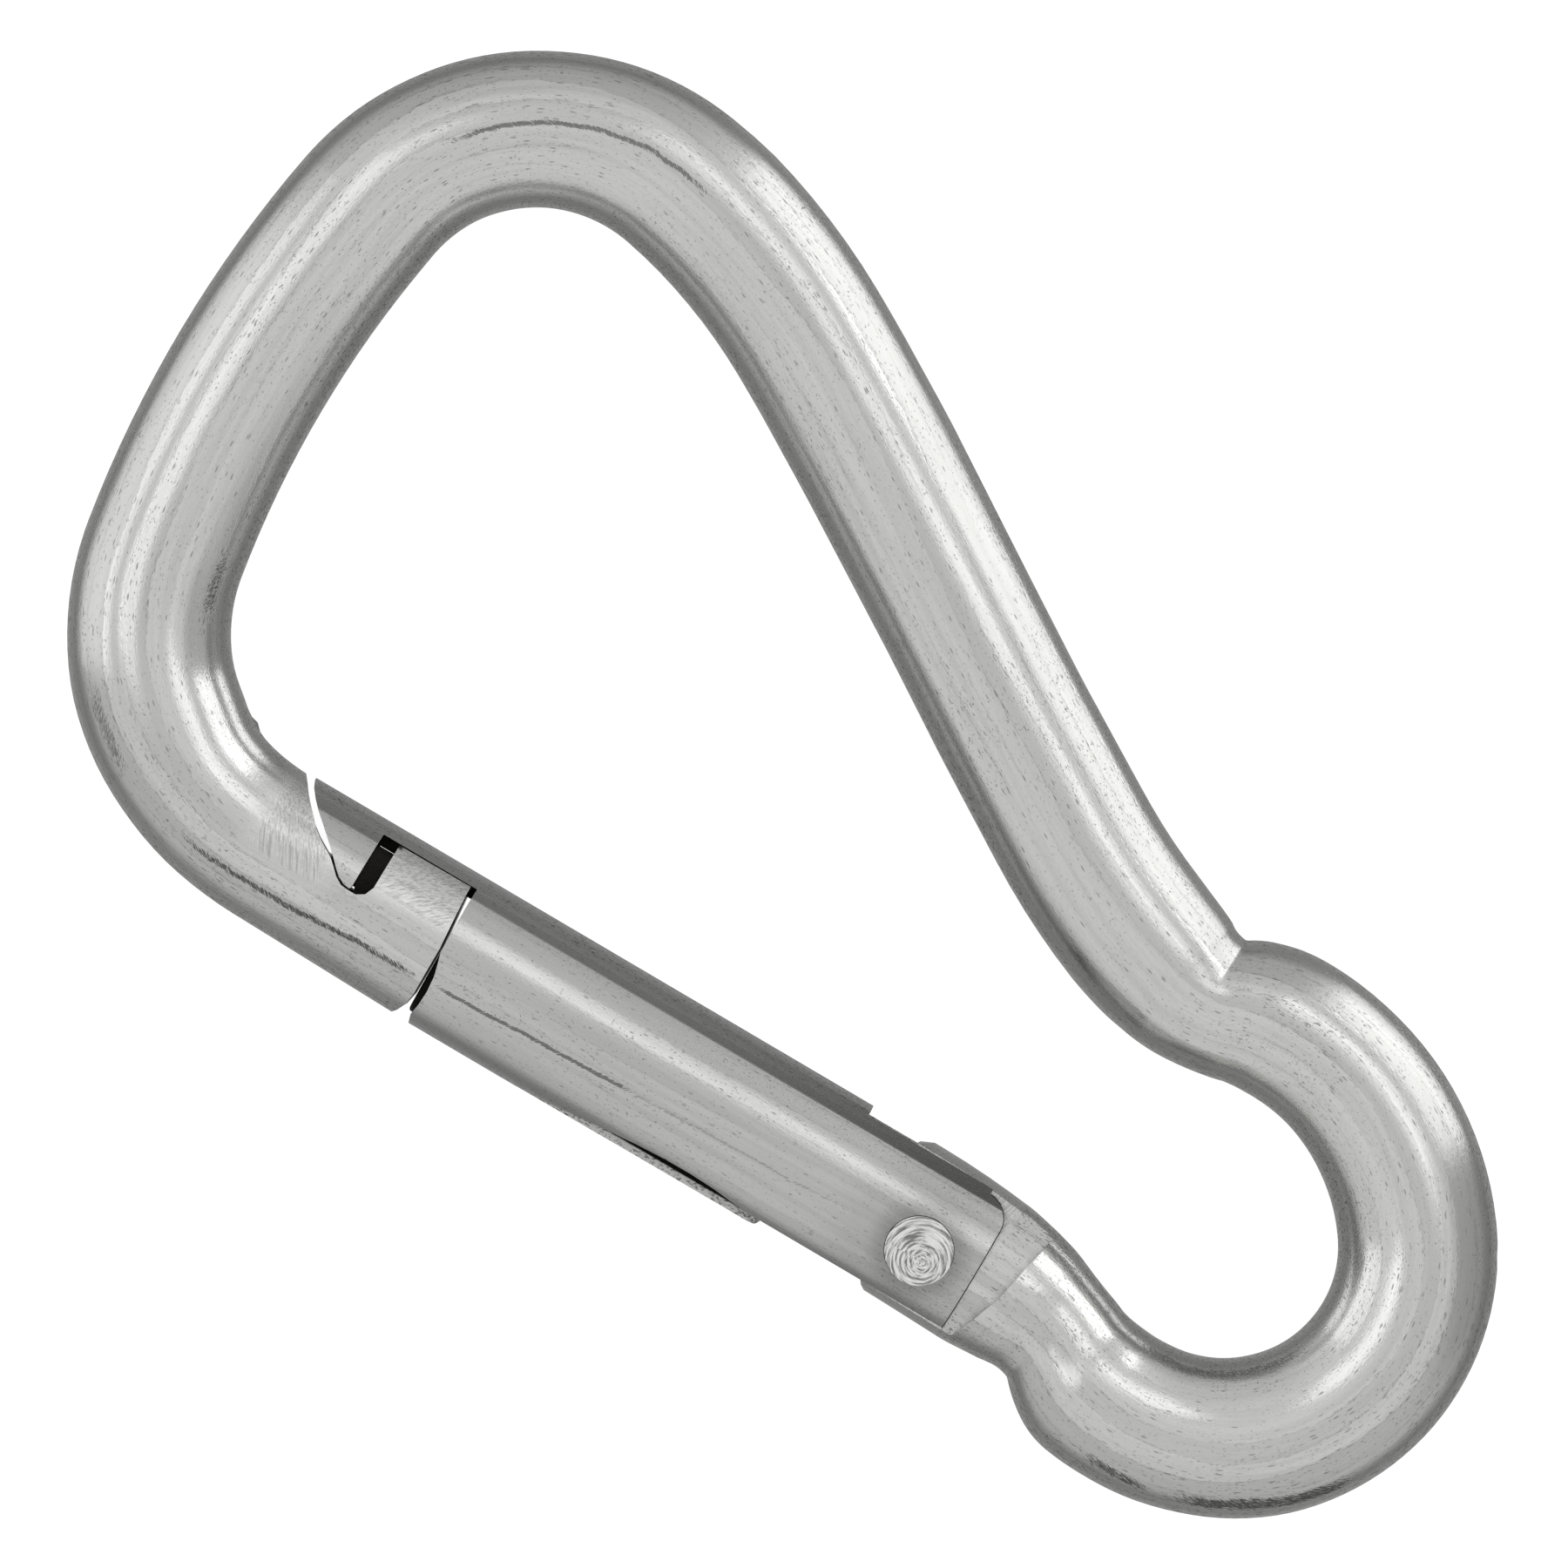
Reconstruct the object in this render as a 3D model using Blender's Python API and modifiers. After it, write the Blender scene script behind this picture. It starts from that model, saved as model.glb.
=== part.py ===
"""Asymmetric spring snap hook, bent from 10 mm round bar, with a pressed sheet gate.

Everything is drawn in the hinge's own frame, in millimetres: X runs along the closed gate from its
tip to the eye, Y points into the bay, Z is the thickness, and the hinge pin stands at the origin.
An empty then turns and lifts that frame, so that the hook lies flat with its length along +Y.
"""

import math

import bmesh
import bpy
from mathutils import Vector

MM = 0.001

# The bar
BAR_RADIUS = 5.0
BAR_SIDES_STEP = 10          # bevel resolution, which gives 24 sides
GATE_LINE = 1.05             # height of the bar's and the gate's axis over the hinge pin
NOSE_START = (-34.0, GATE_LINE)
BAR_PATH = (                 # length, turn in degrees and number of steps, from the nose to the tang
    (12.2, 0.0, 1),          # straight nose
    (20.9, -80.3, 9),        # bend under the bow
    (24.3, -19.9, 4),        # long shallow side of the bow
    (21.0, -89.8, 10),       # top of the bow
    (15.1, -21.9, 4),        # run into the spine
    (30.7, 0.0, 1),          # straight spine
    (11.4, 15.5, 4),         # spine's lower end
    (4.2, 36.1, 4),          # upper neck
    (2.5, -15.7, 2),
    (16.3, -59.4, 7),        # eye
    (30.9, -153.2, 16),
    (3.9, 22.7, 3),          # lower neck
    (10.5, 5.9, 3),          # tang
)
UPPER_NECK = (139.0, 0.135)  # distance along the bar, and how much the bar narrows there
LOWER_NECK = (188.4, 0.17)
NECK_SPREAD = 2.8

# The latch
TOOTH_TIP = (-45.85, 6.0)
TOOTH_HEEL = (-41.6, 1.7)
TOOTH_FOOT = 1.4             # height of the tooth's lowest edge
TOOTH_RIGHT = -40.5
TONGUE_LEFT = -39.45
TONGUE_END = -34.15
LATCH_GAP = 0.35             # room all round the tooth
RIB_HALF = 1.85              # half the thickness of the rib that is left between the teeth
GROOVE_HALF = 2.6            # half the width of the groove that the gate's web drops into
GROOVE_FLOOR = 4.05

# The gate
SHEET = 1.2
GATE_INNER = BAR_RADIUS - SHEET
GATE_FRONT = -33.75
GATE_END = 3.9
WEB_ANGLE = math.radians(27.0)   # half the angle that the web keeps over the tongue
WEB_END = -6.7
LIP_END = -9.0
LENS_START = -27.0
FORK_HALF = 2.25             # half the gap between the cheeks round the tang
SEAM_HALF = 0.15
SEAT_BACK = -32.25           # spring's seat, folded in behind the tongue

# The hinge
TANG_HALF = 1.95
SHOULDER_TOP = (6.75, 5.2)
SHOULDER_FOOT = (4.25, -3.9)
PIN_HOLE = 2.0
RIVET_SHANK = 1.65
RIVET_HEAD = 2.1
RIVET_HALF = 5.55            # half the rivet's length, and the object's half thickness
HEAD_UNDER = 4.7
HEAD_SEAT = 4.4

# The closing spring and the pin that it pushes
THRUST_FACE = -3.75
THRUST_HEAD = 3.4
THRUST_HEAD_LENGTH = 3.0
THRUST_STEM = 1.7
THRUST_LENGTH = 12.0
WIRE_RADIUS = 0.4
COIL_RADIUS = 2.8
SPRING_FROM = -31.5
SPRING_TO = -7.5
END_PITCH = 0.95
ACTIVE_TURNS = 8

# Placing
GATE_LEAN = 21.5             # degrees between the gate and the hook's length
FAR = 7.0                    # past every surface, for cutters


def clear_scene():
    for obj in list(bpy.data.objects):
        bpy.data.objects.remove(obj, do_unlink=True)


def collection(name):
    made = bpy.data.collections.new(name)
    bpy.context.scene.collection.children.link(made)
    return made


def material(name, colour, roughness):
    made = bpy.data.materials.new(name)
    made.use_nodes = True
    shader = made.node_tree.nodes["Principled BSDF"]
    shader.inputs["Base Color"].default_value = (*colour, 1.0)
    shader.inputs["Metallic"].default_value = 1.0
    shader.inputs["Roughness"].default_value = roughness
    return made


def add_object(name, data, group, hinge):
    obj = bpy.data.objects.new(name, data)
    group.objects.link(obj)
    obj.parent = hinge
    return obj


def mesh_from_curve(name, curve, group, hinge):
    """The curve as a welded mesh object."""
    source = add_object(name + "_curve", curve, group, hinge)
    bpy.context.view_layer.update()
    mesh = bpy.data.meshes.new_from_object(source.evaluated_get(bpy.context.evaluated_depsgraph_get()))
    bpy.data.objects.remove(source)
    tidy = bmesh.new()
    tidy.from_mesh(mesh)
    bmesh.ops.remove_doubles(tidy, verts=tidy.verts, dist=0.000002)
    bmesh.ops.recalc_face_normals(tidy, faces=tidy.faces)
    tidy.to_mesh(mesh)
    tidy.free()
    mesh.name = name
    return add_object(name, mesh, group, hinge)


def prism(name, outline, low, high, group, hinge, plane="XY"):
    """A flat outline drawn in the given plane, filled, and drawn out between two heights."""
    curve = bpy.data.curves.new(name, "CURVE")
    curve.dimensions = "2D"
    curve.fill_mode = "BOTH"
    curve.extrude = (high - low) / 2 * MM
    spline = curve.splines.new("POLY")
    spline.points.add(len(outline) - 1)
    for point, (a, b) in zip(spline.points, outline):
        point.co = (a * MM, b * MM, 0.0, 1.0)
    spline.use_cyclic_u = True
    obj = mesh_from_curve(name, curve, group, hinge)
    middle = (low + high) / 2 * MM
    for vertex in obj.data.vertices:
        a, b, c = vertex.co
        if plane == "XY":
            vertex.co = (a, b, c + middle)
        elif plane == "XZ":
            vertex.co = (a, middle - c, b)
        else:                                # "YZ": drawn as (height, depth), drawn out along X
            vertex.co = (c + middle, a, b)
    return obj


def rod(name, radius, start, end, height, sides, group, hinge):
    """A round rod along X."""
    bpy.ops.mesh.primitive_cylinder_add(
        vertices=sides, radius=radius * MM, depth=(end - start) * MM,
        location=((start + end) / 2 * MM, height * MM, 0.0), rotation=(0.0, math.pi / 2, 0.0))
    return adopt(name, group, hinge)


def post(name, radius, low, high, sides, group, hinge):
    """A round post along Z, on the hinge's axis."""
    bpy.ops.mesh.primitive_cylinder_add(
        vertices=sides, radius=radius * MM, depth=(high - low) * MM,
        location=(0.0, 0.0, (low + high) / 2 * MM))
    return adopt(name, group, hinge)


def adopt(name, group, hinge):
    """Names the new primitive, gives it the hinge's frame and puts it in its collection."""
    obj = bpy.context.object
    obj.name = obj.data.name = name
    obj.data.transform(obj.matrix_world)
    obj.matrix_world.identity()
    for holder in list(obj.users_collection):
        holder.objects.unlink(obj)
    group.objects.link(obj)
    obj.parent = hinge
    return obj


def cut(target, cutter, operation="DIFFERENCE"):
    cutter.hide_render = True
    cutter.display_type = "WIRE"
    modifier = target.modifiers.new(cutter.name, "BOOLEAN")
    modifier.operation = operation
    modifier.solver = "EXACT"
    modifier.object = cutter


def turned(name, profile, steps, group, hinge):
    """A solid turned about Z from (radius, height) pairs that run down its outer side."""
    mesh = bpy.data.meshes.new(name)
    points = [(radius * MM, 0.0, height * MM) for radius, height in profile]
    mesh.from_pydata(points, [(i, i + 1) for i in range(len(points) - 1)], [])
    obj = add_object(name, mesh, group, hinge)
    screw = obj.modifiers.new("turn", "SCREW")
    screw.steps = screw.render_steps = steps
    screw.use_merge_vertices = True
    screw.merge_threshold = 0.00001
    return obj


def bar_points():
    """The bar's axis: each point with its distance from the nose."""
    x, y = NOSE_START
    heading = math.pi
    travelled = 0.0
    points = [(x, y, travelled)]
    for length, turn, steps in BAR_PATH:
        step = length / steps
        swing = math.radians(turn) / steps
        chord = step if swing == 0 else 2 * step / swing * math.sin(swing / 2)
        for _ in range(steps):
            x += chord * math.cos(heading + swing / 2)
            y += chord * math.sin(heading + swing / 2)
            heading += swing
            travelled += step
            points.append((x, y, travelled))
    return points


def bar_width(travelled):
    """The bar's radius as a share of its full radius: it narrows at the two forged necks."""
    share = 1.0
    for place, depth in (UPPER_NECK, LOWER_NECK):
        share -= depth * math.exp(-((travelled - place) / NECK_SPREAD) ** 2)
    return share


def hinge_frame():
    """The empty on the hinge's axis, placed so that the hook's box stands on the origin."""
    turn = math.radians(GATE_LEAN - 90.0)
    along = [(x * math.cos(turn) - y * math.sin(turn), x * math.sin(turn) + y * math.cos(turn))
             for x, y, _ in bar_points()]
    centre = [(min(p[i] for p in along) + max(p[i] for p in along)) / 2 for i in (0, 1)]
    hinge = bpy.data.objects.new("hinge_axis", None)
    bpy.context.scene.collection.objects.link(hinge)
    hinge.location = (-centre[0] * MM, -centre[1] * MM, RIVET_HALF * MM)
    hinge.rotation_euler = (0.0, 0.0, turn)
    bpy.context.view_layer.update()
    return hinge


def throat_outline():
    """The slot that the teeth drop into, seen from the side."""
    slope = Vector((TOOTH_HEEL[0] - TOOTH_TIP[0], TOOTH_HEEL[1] - TOOTH_TIP[1])).normalized()
    back_off = Vector((slope.y, -slope.x)) * LATCH_GAP
    wall_foot = Vector(TOOTH_HEEL) + back_off
    wall_top = wall_foot - slope * 7.6
    floor = TOOTH_FOOT - LATCH_GAP
    return [tuple(wall_top), tuple(wall_foot), (wall_foot.x + 0.75, floor), (-40.2, floor),
            (-39.65, floor + 0.25), (TONGUE_LEFT, floor + 0.9), (TONGUE_LEFT, FAR)]


def make_hook_body(parts, cutters, hinge):
    curve = bpy.data.curves.new("hook_body", "CURVE")
    curve.dimensions = "3D"
    curve.twist_mode = "Z_UP"
    curve.bevel_depth = BAR_RADIUS * MM
    curve.bevel_resolution = BAR_SIDES_STEP
    curve.use_fill_caps = True
    spline = curve.splines.new("POLY")
    axis = bar_points()
    spline.points.add(len(axis) - 1)
    for point, (x, y, travelled) in zip(spline.points, axis):
        point.co = (x * MM, y * MM, 0.0, 1.0)
        point.radius = bar_width(travelled)
    body = mesh_from_curve("hook_body", curve, parts, hinge)

    nose_end = [(TONGUE_END - 0.4, FAR), (TONGUE_END - 0.3, 4.6), (TONGUE_END, 1.0),
                (TONGUE_END, -2.2), (TONGUE_END - 0.15, -3.0), (TONGUE_END - 0.45, -3.6),
                (TONGUE_END - 0.95, -4.2), (TONGUE_END - 0.95, -FAR), (-30.0, -FAR), (-30.0, FAR)]
    cut(body, prism("nose_end", nose_end, -FAR, FAR, cutters, hinge))

    throat = throat_outline()
    cut(body, prism("throat_upper", throat, RIB_HALF, FAR, cutters, hinge))
    cut(body, prism("throat_lower", throat, -FAR, -RIB_HALF, cutters, hinge))
    wall_top, wall_foot, floor_start = throat[:3]
    slit = [wall_top, wall_foot, floor_start, (wall_top[0] + 0.75, wall_top[1])]
    cut(body, prism("throat_slit", slit, -RIB_HALF - 0.05, RIB_HALF + 0.05, cutters, hinge))
    rise = (wall_top[0] - wall_foot[0]) / (wall_top[1] - wall_foot[1])
    groove_start = wall_foot[0] + 0.3 + rise * (GROOVE_FLOOR - wall_foot[1])
    groove = [(groove_start, GROOVE_FLOOR), (-33.0, GROOVE_FLOOR), (-33.0, FAR),
              (groove_start + rise * (FAR - GROOVE_FLOOR), FAR)]
    cut(body, prism("web_groove", groove, -GROOVE_HALF, GROOVE_HALF, cutters, hinge))

    lean = (SHOULDER_TOP[0] - SHOULDER_FOOT[0]) / (SHOULDER_TOP[1] - SHOULDER_FOOT[1])
    cheek_room = [(-6.0, FAR), (SHOULDER_TOP[0] + lean * (FAR - SHOULDER_TOP[1]), FAR),
                  (SHOULDER_FOOT[0] - lean * (FAR + SHOULDER_FOOT[1]), -FAR), (-6.0, -FAR)]
    cut(body, prism("tang_upper", cheek_room, TANG_HALF, FAR, cutters, hinge))
    cut(body, prism("tang_lower", cheek_room, -FAR, -TANG_HALF, cutters, hinge))
    tang_front = [(-8.0, FAR), (-1.6, FAR), (-2.4, 5.95), (-3.1, 5.6), (-3.4, 5.1), (-2.2, -3.2),
                  (-1.9, -3.65), (-1.3, -4.05), (-1.0, -FAR), (-8.0, -FAR)]
    cut(body, prism("tang_front", tang_front, -3.0, 3.0, cutters, hinge))
    cut(body, post("tang_hole", PIN_HOLE, -FAR, FAR, 24, cutters, hinge))
    return body


def gate_outline():
    """The gate seen from the side, with the tooth at its tip and the round corner at its hinge."""
    corner_x, corner_y, corner_radius = 2.3, 3.75, 1.6
    corner = [(corner_x + corner_radius * math.cos(math.radians(angle)),
               corner_y + corner_radius * math.sin(math.radians(angle))) for angle in (0, 30, 60, 85)]
    return [(TOOTH_TIP[0] - 0.1, FAR), TOOTH_TIP, TOOTH_HEEL, (-41.1, TOOTH_FOOT + 0.03),
            (-40.7, TOOTH_FOOT), (TOOTH_RIGHT, TOOTH_FOOT + 0.3), (TOOTH_RIGHT - 0.1, 3.9),
            (GATE_FRONT - 0.1, 3.9), (GATE_FRONT, 2.2), (GATE_FRONT + 0.15, 1.0),
            (GATE_FRONT + 0.15, -1.8), (GATE_FRONT + 0.05, -3.0), (GATE_FRONT + 0.25, -3.6),
            (GATE_FRONT + 0.7, -4.2), (GATE_FRONT + 0.7, -FAR), (GATE_END, -FAR), *corner,
            (2.3, FAR)]


def make_gate(parts, cutters, hinge):
    gate = rod("gate", BAR_RADIUS, -46.2, 4.2, GATE_LINE, 40, parts, hinge)
    cut(gate, prism("gate_side", gate_outline(), -FAR, FAR, cutters, hinge), "INTERSECT")
    cut(gate, rod("front_bore", GATE_INNER, -47.0, GATE_FRONT + 0.3, GATE_LINE, 32, cutters, hinge))
    cut(gate, rod("spring_bore", GATE_INNER, SEAT_BACK, 5.0, GATE_LINE, 32, cutters, hinge))

    edge = (math.sin(WEB_ANGLE) * FAR, GATE_LINE + math.cos(WEB_ANGLE) * FAR)
    window = [(GATE_LINE, 0.0), (edge[1], edge[0]), (edge[1], FAR), (-FAR, FAR),
              (-FAR, -FAR), (edge[1], -FAR), (edge[1], -edge[0])]
    cut(gate, prism("window", window, TOOTH_RIGHT - 0.12, GATE_FRONT - 0.15, cutters, hinge, "YZ"))

    fork_top = [(WEB_END, -FORK_HALF), (6.0, -FORK_HALF), (6.0, FORK_HALF), (WEB_END, FORK_HALF)]
    cut(gate, prism("fork_top", fork_top, GATE_LINE, FAR, cutters, hinge, "XZ"))
    seam = [(-38.0, -SEAM_HALF), (LENS_START, -SEAM_HALF), (-22.0, -0.35), (-14.0, -0.6),
            (LIP_END - 0.8, -0.6), (LIP_END - 0.2, -1.3), (LIP_END, -FORK_HALF), (6.0, -FORK_HALF),
            (6.0, FORK_HALF), (LIP_END - 1.0, FORK_HALF), (-12.5, 2.7), (-16.0, 2.8), (-20.0, 2.3),
            (-24.0, 1.2), (LENS_START, SEAM_HALF), (-38.0, SEAM_HALF)]
    cut(gate, prism("lips", seam, -FAR, -1.9, cutters, hinge, "XZ"))
    fork_low = [(-6.0, -FORK_HALF), (6.0, -FORK_HALF), (6.0, FORK_HALF), (-6.0, FORK_HALF)]
    cut(gate, prism("fork_low", fork_low, -2.0, GATE_LINE + 0.1, cutters, hinge, "XZ"))

    cut(gate, post("cheek_holes", PIN_HOLE, -FAR, FAR, 24, cutters, hinge))
    cut(gate, post("seat_upper", RIVET_HEAD + 0.4, HEAD_SEAT, FAR, 24, cutters, hinge))
    cut(gate, post("seat_lower", RIVET_HEAD + 0.4, -FAR, -HEAD_SEAT, 24, cutters, hinge))
    return gate


def make_hinge_rivet(parts, hinge):
    upper = [(0.0, RIVET_HALF), (RIVET_HEAD - 0.45, RIVET_HALF), (RIVET_HEAD - 0.12, RIVET_HALF - 0.15),
             (RIVET_HEAD, RIVET_HALF - 0.4), (RIVET_HEAD, HEAD_UNDER), (RIVET_SHANK, HEAD_UNDER)]
    lower = [(radius, -height) for radius, height in reversed(upper)]
    return turned("hinge_rivet", upper + lower, 24, parts, hinge)


def make_thrust_pin(parts, hinge):
    back = -THRUST_HEAD_LENGTH
    profile = [(0.0, 0.0), (THRUST_HEAD - 0.4, 0.0), (THRUST_HEAD, -0.4), (THRUST_HEAD, back),
               (THRUST_STEM, back), (THRUST_STEM, 0.5 - THRUST_LENGTH),
               (THRUST_STEM - 0.5, -THRUST_LENGTH), (0.0, -THRUST_LENGTH)]
    pin = turned("thrust_pin", profile, 20, parts, hinge)
    pin.location = (THRUST_FACE * MM, GATE_LINE * MM, 0.0)
    pin.rotation_euler = (0.0, math.pi / 2, 0.0)
    return pin


def spring_points():
    """The wire's axis: a close turn at each end and an even pitch between."""
    per_turn = 12
    turns = ACTIVE_TURNS + 2
    pitch = (SPRING_TO - SPRING_FROM - 2 * END_PITCH) / ACTIVE_TURNS
    for i in range(turns * per_turn + 1):
        turn = i / per_turn
        along = END_PITCH * min(turn, 1.0) + pitch * min(max(turn - 1.0, 0.0), ACTIVE_TURNS)
        along += END_PITCH * max(turn - turns + 1.0, 0.0)
        angle = 2 * math.pi * turn
        yield (SPRING_FROM + along, GATE_LINE + COIL_RADIUS * math.cos(angle),
               COIL_RADIUS * math.sin(angle))


def make_gate_spring(parts, hinge):
    curve = bpy.data.curves.new("gate_spring", "CURVE")
    curve.dimensions = "3D"
    curve.bevel_depth = WIRE_RADIUS * MM
    curve.bevel_resolution = 2
    curve.use_fill_caps = True
    spline = curve.splines.new("POLY")
    points = list(spring_points())
    spline.points.add(len(points) - 1)
    for point, place in zip(spline.points, points):
        point.co = (*(Vector(place) * MM), 1.0)
    return mesh_from_curve("gate_spring", curve, parts, hinge)


def shade(obj, smooth_to):
    obj.data.shade_smooth()
    obj.data.set_sharp_from_angle(angle=math.radians(smooth_to))


def main():
    clear_scene()
    parts = collection("snap_hook")
    cutters = collection("cutters")
    hinge = hinge_frame()
    bright_zinc = material("bright_zinc", (0.62, 0.62, 0.62), 0.26)
    pressed_zinc = material("pressed_zinc", (0.60, 0.60, 0.60), 0.30)
    turned_steel = material("turned_steel", (0.72, 0.72, 0.71), 0.28)
    spring_steel = material("spring_steel", (0.35, 0.35, 0.36), 0.32)
    pieces = (
        (make_hook_body(parts, cutters, hinge), bright_zinc),
        (make_gate(parts, cutters, hinge), pressed_zinc),
        (make_hinge_rivet(parts, hinge), turned_steel),
        (make_thrust_pin(parts, hinge), turned_steel),
        (make_gate_spring(parts, hinge), spring_steel),
    )
    for obj, finish in pieces:
        obj.data.materials.clear()
        obj.data.materials.append(finish)
        shade(obj, 35.0)
    cutters.hide_render = True


main()
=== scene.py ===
import math
from functools import partial
import bpy
import numpy as np
from mathutils import Matrix, Vector


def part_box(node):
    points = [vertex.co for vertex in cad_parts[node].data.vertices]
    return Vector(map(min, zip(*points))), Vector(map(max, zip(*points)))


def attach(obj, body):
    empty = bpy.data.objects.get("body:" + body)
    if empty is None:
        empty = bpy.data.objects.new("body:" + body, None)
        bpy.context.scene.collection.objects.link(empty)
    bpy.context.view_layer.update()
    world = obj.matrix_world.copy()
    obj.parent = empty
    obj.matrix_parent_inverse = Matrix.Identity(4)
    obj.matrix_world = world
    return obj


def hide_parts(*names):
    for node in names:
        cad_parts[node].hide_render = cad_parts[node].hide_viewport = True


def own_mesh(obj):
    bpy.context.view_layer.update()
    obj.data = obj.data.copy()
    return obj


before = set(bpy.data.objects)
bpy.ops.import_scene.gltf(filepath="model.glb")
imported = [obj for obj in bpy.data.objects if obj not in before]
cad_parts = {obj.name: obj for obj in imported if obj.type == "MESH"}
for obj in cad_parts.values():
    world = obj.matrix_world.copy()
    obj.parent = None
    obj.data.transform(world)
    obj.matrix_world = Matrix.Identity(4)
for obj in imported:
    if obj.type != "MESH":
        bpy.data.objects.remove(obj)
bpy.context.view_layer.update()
print("frame loaded")

mm = 0.001
rivetLow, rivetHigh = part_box("hinge_rivet")
hingeSpot = Vector([(low + high) / 2 for low, high in zip(rivetLow, rivetHigh)])
gateTurn = math.radians(-68.5)      # the closed gate lies 21.5 degrees off the hook's length
toWorld = Matrix.Translation(hingeSpot) @ Matrix.Rotation(gateTurn, 4, "Z")
far = 7.0                           # mm, past every surface
barRadius = 5.0                     # mm, of the round stock


# Modelling. Every piece is drawn in the hinge's frame: u along the gate, v into the bay, z thickness.

def clearChoice():
    if bpy.context.mode != "OBJECT":
        bpy.ops.object.mode_set(mode="OBJECT")
    bpy.ops.object.select_all(action="DESELECT")


def choose(piece):
    clearChoice()
    piece.select_set(True)
    bpy.context.view_layer.objects.active = piece


def editAll():
    bpy.ops.object.mode_set(mode="EDIT")
    bpy.ops.mesh.select_mode(type="VERT")
    bpy.ops.mesh.select_all(action="SELECT")


def leaveEdit(name):
    bpy.ops.object.mode_set(mode="OBJECT")
    bpy.ops.object.transform_apply(location=True, rotation=True, scale=True)
    piece = bpy.context.object
    piece.name = piece.data.name = name
    return piece


def pick(piece, wanted):
    # goes into edit mode with only the wanted vertices chosen
    choose(piece)
    bpy.ops.object.mode_set(mode="EDIT")
    bpy.ops.mesh.select_mode(type="VERT")
    bpy.ops.mesh.select_all(action="DESELECT")
    bpy.ops.object.mode_set(mode="OBJECT")
    chosen = 0
    for vertex in piece.data.vertices:
        vertex.select = wanted(vertex.co / mm)
        chosen += vertex.select
    bpy.ops.object.mode_set(mode="EDIT")
    return chosen


def metric(a, b, depth, plane):
    spots = {"XY": (a, b, depth), "XZ": (a, depth, b), "YZ": (depth, a, b)}
    return Vector(spots[plane]) * mm


def walkOut(start, steps):
    # one vertex, then an edge drawn out of it for every step
    clearChoice()
    bpy.ops.mesh.primitive_plane_add(size=mm, location=start)
    editAll()
    bpy.ops.mesh.merge(type="CENTER")
    for step in steps:
        bpy.ops.mesh.extrude_vertices_move(TRANSFORM_OT_translate={"value": step})
    bpy.ops.mesh.select_all(action="SELECT")


def drawSolid(name, outline, low, high, plane="XY", lean=0.0):
    # an outline walked out point by point, filled, and pulled to its thickness, leaning along u
    corners = [metric(*corner, low, plane) for corner in outline]
    walkOut(corners[0], [there - here for here, there in zip(corners, corners[1:])])
    bpy.ops.mesh.edge_face_add()
    pull = metric(0, 0, high, plane) - metric(0, 0, low, plane)
    pull.x += lean * (high - low) * mm
    bpy.ops.mesh.extrude_region_move(TRANSFORM_OT_translate={"value": pull})
    bpy.ops.mesh.select_all(action="SELECT")
    bpy.ops.mesh.normals_make_consistent(inside=False)
    return leaveEdit(name)


def rodAlong(name, radius, start, end, height, sides):
    clearChoice()
    bpy.ops.mesh.primitive_cylinder_add(
        vertices=sides, radius=radius * mm, depth=(end - start) * mm,
        location=((start + end) / 2 * mm, height * mm, 0.0), rotation=(0.0, math.pi / 2, 0.0))
    editAll()
    return leaveEdit(name)


def postUp(name, radius, low, high, sides, spot=(0.0, 0.0)):
    clearChoice()
    bpy.ops.mesh.primitive_cylinder_add(
        vertices=sides, radius=radius * mm, depth=(high - low) * mm,
        location=(spot[0] * mm, spot[1] * mm, (low + high) / 2 * mm))
    editAll()
    return leaveEdit(name)


def applyAll(piece):
    choose(piece)
    for modifier in list(piece.modifiers):
        bpy.ops.object.modifier_apply(modifier=modifier.name)


def cut(piece, cutter, operation="DIFFERENCE"):
    modifier = piece.modifiers.new("cut", "BOOLEAN")
    modifier.operation = operation
    modifier.solver = "EXACT"
    modifier.object = cutter
    applyAll(piece)
    bpy.data.objects.remove(cutter)


def nudge(piece, near, reach, push, size, falloff="SMOOTH"):
    # a local dent or swelling: the spots within reach are pushed, and what lies round them follows
    middle = Vector(near)
    if not pick(piece, lambda spot: (spot - middle).length < reach):
        print("nudge found nothing near", near)
    bpy.ops.transform.translate(value=Vector(push) * mm, use_proportional_edit=True,
                                proportional_edit_falloff=falloff, proportional_size=size * mm)
    bpy.ops.object.mode_set(mode="OBJECT")


def pinch(piece, centre, first, last, squeeze, size, within=0.14):
    # a sharp crease: the spots along a line on the surface are drawn towards the bar's middle
    a, b, middle = Vector((*first, 0.0)), Vector((*last, 0.0)), Vector((*centre, 0.0))
    run = b - a

    def onLine(spot):
        flat = Vector((spot.x, spot.y, 0.0)) - a
        share = flat.dot(run) / run.length_squared
        return -0.05 <= share <= 1.0 and (flat - run * share).length < within
    if not pick(piece, onLine):
        print("pinch found nothing at", first)
    bpy.ops.transform.resize(value=(squeeze, squeeze, squeeze), center_override=middle * mm,
                             use_proportional_edit=True, proportional_edit_falloff="SHARP",
                             proportional_size=size * mm)
    bpy.ops.object.mode_set(mode="OBJECT")


def joinInto(piece, other):
    choose(piece)
    other.select_set(True)
    bpy.ops.object.join()


def softenEdges(piece, width, sharpFrom=32.0, segments=2):
    pick(piece, lambda spot: True)
    bpy.ops.mesh.remove_doubles(threshold=0.02 * mm)
    bpy.ops.mesh.dissolve_degenerate(threshold=0.01 * mm)
    bpy.ops.object.mode_set(mode="OBJECT")
    bevel = piece.modifiers.new("worn edges", "BEVEL")
    bevel.width = width * mm
    bevel.segments = segments
    bevel.limit_method = "ANGLE"
    bevel.angle_limit = math.radians(sharpFrom)
    applyAll(piece)


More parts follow.
